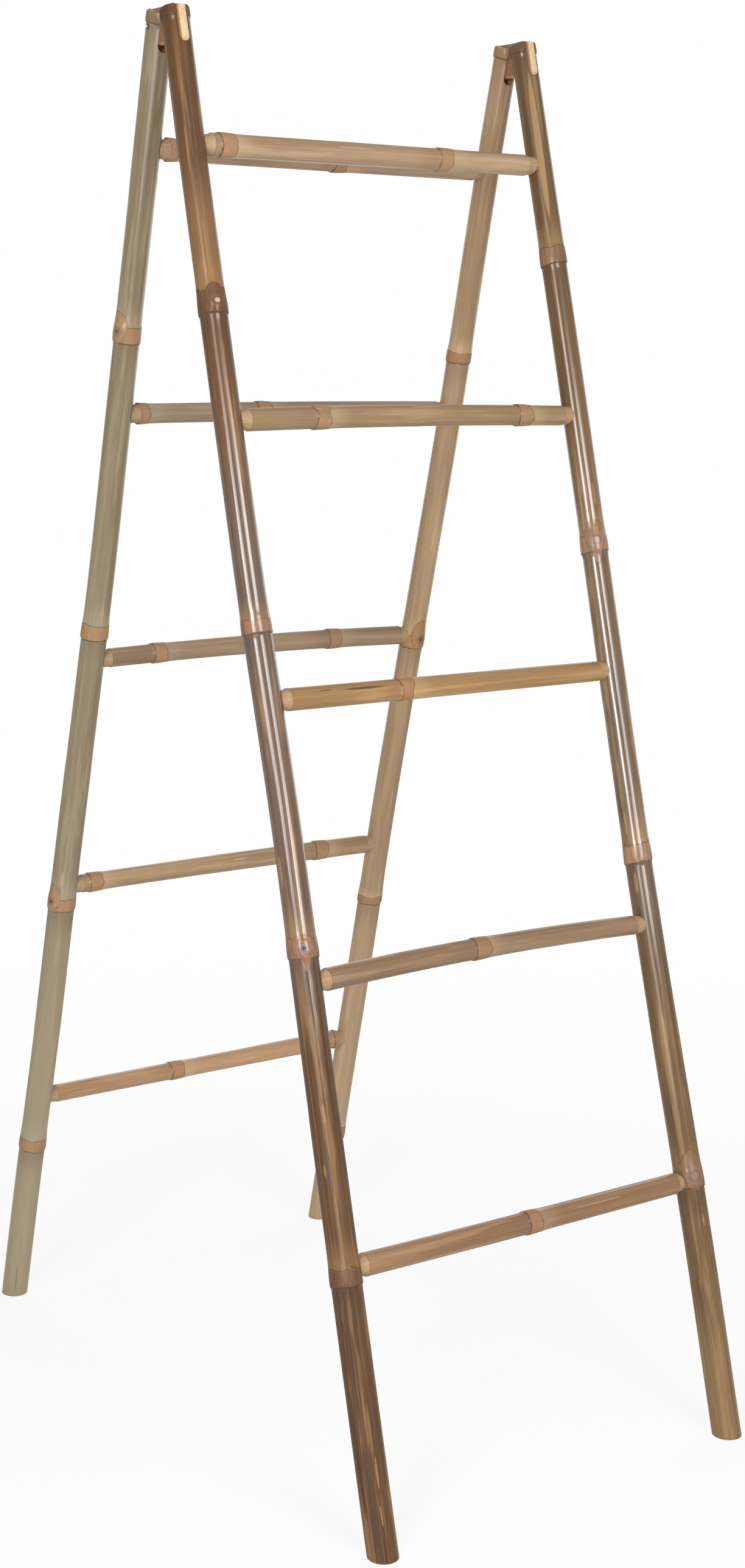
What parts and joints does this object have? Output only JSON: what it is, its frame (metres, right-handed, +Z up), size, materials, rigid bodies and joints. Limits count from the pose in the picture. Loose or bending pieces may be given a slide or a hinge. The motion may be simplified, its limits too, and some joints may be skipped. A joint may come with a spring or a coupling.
{
  "type": "folding bamboo ladder rack",
  "caption": "Free-standing folding double ladder of bamboo: two leaning frames of poles and rungs, hinged at the top on slotted tongues, for hanging towels, throws or plants.",
  "frame": {"origin": "on the floor, midway between the four feet of the open ladder", "axes": "+X along the rungs to the right, +Y from the front frame to the rear frame, +Z up"},
  "size_m": [0.5126, 0.8575, 1.5526],
  "materials": {
    "pole": "varnished bamboo, mid brown with paler node bands",
    "rung": "varnished bamboo, light tan with whittled cream ends",
    "tongue": "bare sawn bamboo batten",
    "pin": "plain nail steel"
  },
  "bodies": {
    "front_frame": {"front_left_pole": "pole", "front_right_pole": "pole", "front_rung_1": "rung", "front_rung_2": "rung", "front_rung_3": "rung", "front_rung_4": "rung", "front_rung_5": "rung", "front_left_pin": "pin", "front_right_pin": "pin"},
    "hinge_tongues": {"left_tongue": "tongue", "right_tongue": "tongue"},
    "rear_frame": {"rear_left_pole": "pole", "rear_right_pole": "pole", "rear_rung_1": "rung", "rear_rung_2": "rung", "rear_rung_3": "rung", "rear_rung_4": "rung", "rear_rung_5": "rung", "rear_left_pin": "pin", "rear_right_pin": "pin"}
  },
  "joints": [
    {"name": "front_fold", "type": "hinge", "parent": "front_frame", "child": "hinge_tongues", "pos_m": [0, -0.01795, 1.53324], "axis": [-1, 0, 0], "range_deg": [0, 14.4]},
    {"name": "rear_fold", "type": "hinge", "parent": "hinge_tongues", "child": "rear_frame", "pos_m": [0, 0.01795, 1.53324], "axis": [-1, 0, 0], "range_deg": [0, 14.4]}
  ]
}
